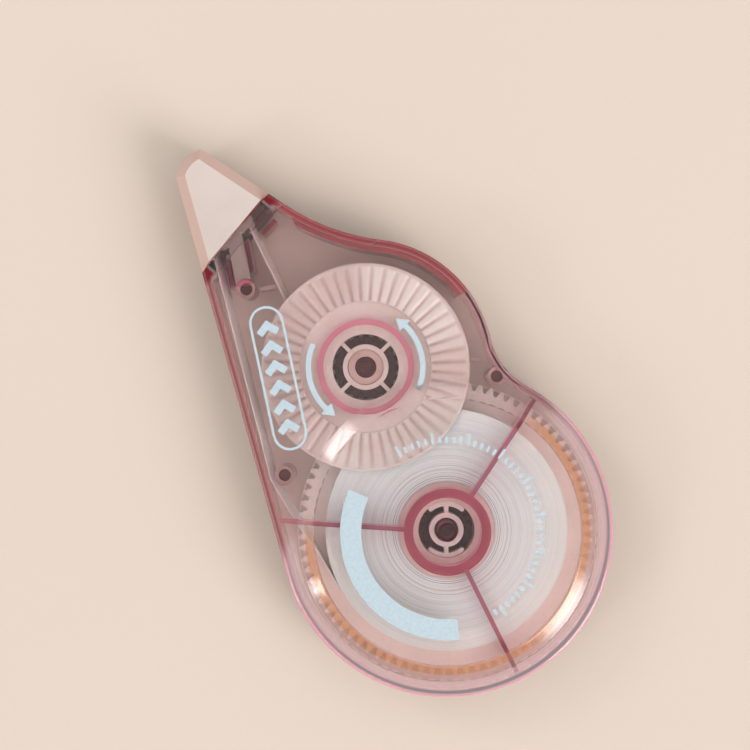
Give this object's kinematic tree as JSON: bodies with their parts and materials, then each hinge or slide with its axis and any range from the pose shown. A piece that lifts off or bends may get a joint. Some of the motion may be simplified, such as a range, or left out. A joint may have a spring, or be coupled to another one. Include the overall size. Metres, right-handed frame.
{
  "type": "correction tape roller",
  "caption": "Hand-held correction tape roller: clear case, slide-off tip cap, geared supply and take-up reels, and tape running over an applicator head.",
  "frame": {"origin": "where the supply reel's axis meets the flat back face", "axes": "+Z out of the front cover, along both reel axes; +Y from the supply reel to the take-up reel, towards the tip"},
  "size_m": [0.068, 0.1268, 0.014],
  "materials": {
    "clear_pink": "clear, polished",
    "cap_pink": "opaque, satin",
    "reel_pink": "slightly translucent, satin",
    "white_tape": "matte coating on film",
    "used_film": "thin clear carrier film",
    "printed_mark": "thin pale blue ink"
  },
  "bodies": {
    "case": {"back_cover": "clear_pink", "front_cover": "clear_pink", "applicator_head": "cap_pink", "feed_tape": "white_tape", "return_tape": "used_film"},
    "cap": {"tip_cap": "cap_pink"},
    "supply_gear": {"supply_gear": "reel_pink"},
    "supply_roll": {"tape_core": "reel_pink", "tape_roll": "white_tape"},
    "take_up_reel": {"take_up_pinion": "reel_pink", "take_up_flange": "reel_pink", "take_up_winding": "used_film"}
  },
  "joints": [
    {"name": "cap_slide", "type": "slide", "parent": "case", "child": "cap", "axis": [-0.1676, 0.9858, 0], "range_m": [0, 0.03]},
    {"name": "supply_gear_spin", "type": "hinge", "parent": "case", "child": "supply_gear", "pos_m": [0, 0, 0], "axis": [0, 0, 1], "continuous": true},
    {"name": "supply_roll_slip", "type": "hinge", "parent": "supply_gear", "child": "supply_roll", "pos_m": [0, 0, 0], "axis": [0, 0, 1], "continuous": true},
    {"name": "take_up_spin", "type": "hinge", "parent": "case", "child": "take_up_reel", "pos_m": [0, 0.0375, 0], "axis": [0, 0, 1], "continuous": true}
  ],
  "couplings": [
    {"joint": "take_up_spin", "follows": "supply_gear_spin", "ratio": -4}
  ]
}
